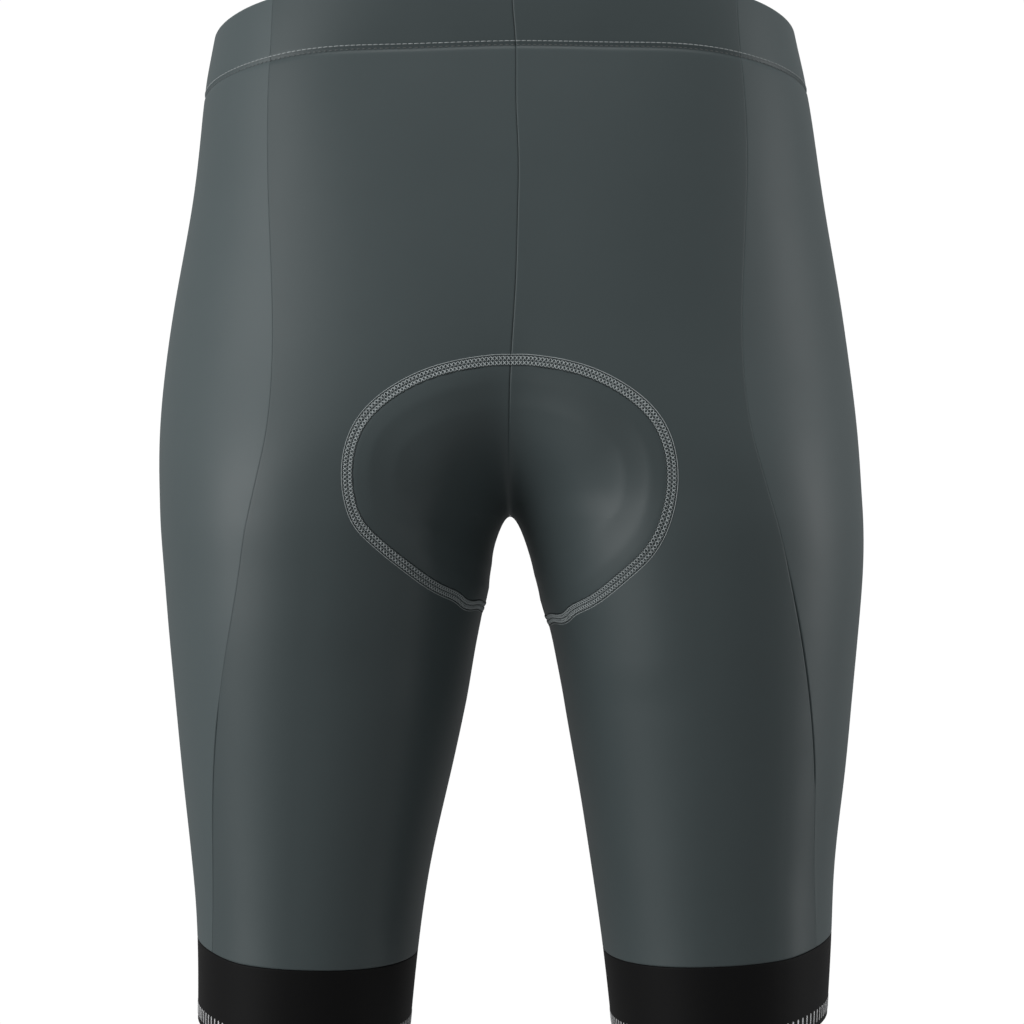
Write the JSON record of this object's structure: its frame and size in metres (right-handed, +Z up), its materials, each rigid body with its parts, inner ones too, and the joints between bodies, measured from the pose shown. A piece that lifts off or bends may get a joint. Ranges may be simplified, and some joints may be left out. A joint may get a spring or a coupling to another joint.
{
  "type": "cycling shorts",
  "caption": "Close-fitting above-knee cycling shorts in their hollow worn form, with side panels, leg bands and a seat pad.",
  "frame": {"origin": "middle of the waist opening, level with the casing's top edge at the sides, where the wearer holds the shorts", "axes": "+Z up, the back faces -Y, the front faces +Y, +X is the wearer's right side"},
  "size_m": [0.3644, 0.2107, 0.5331],
  "materials": {
    "main_cloth": "smooth grey stretch tricot with a satin face",
    "side_cloth": "smooth grey stretch tricot, slightly lighter",
    "band_cloth": "dense matt black elastic cloth",
    "pad_cloth": "brushed dark grey fleece over foam"
  },
  "bodies": {
    "root": {"back_left": "main_cloth", "back_right": "main_cloth", "front_left": "main_cloth", "front_right": "main_cloth", "side_left": "side_cloth", "side_right": "side_cloth", "band_left": "band_cloth", "band_right": "band_cloth", "seat_pad": "pad_cloth"}
  },
  "joints": []
}
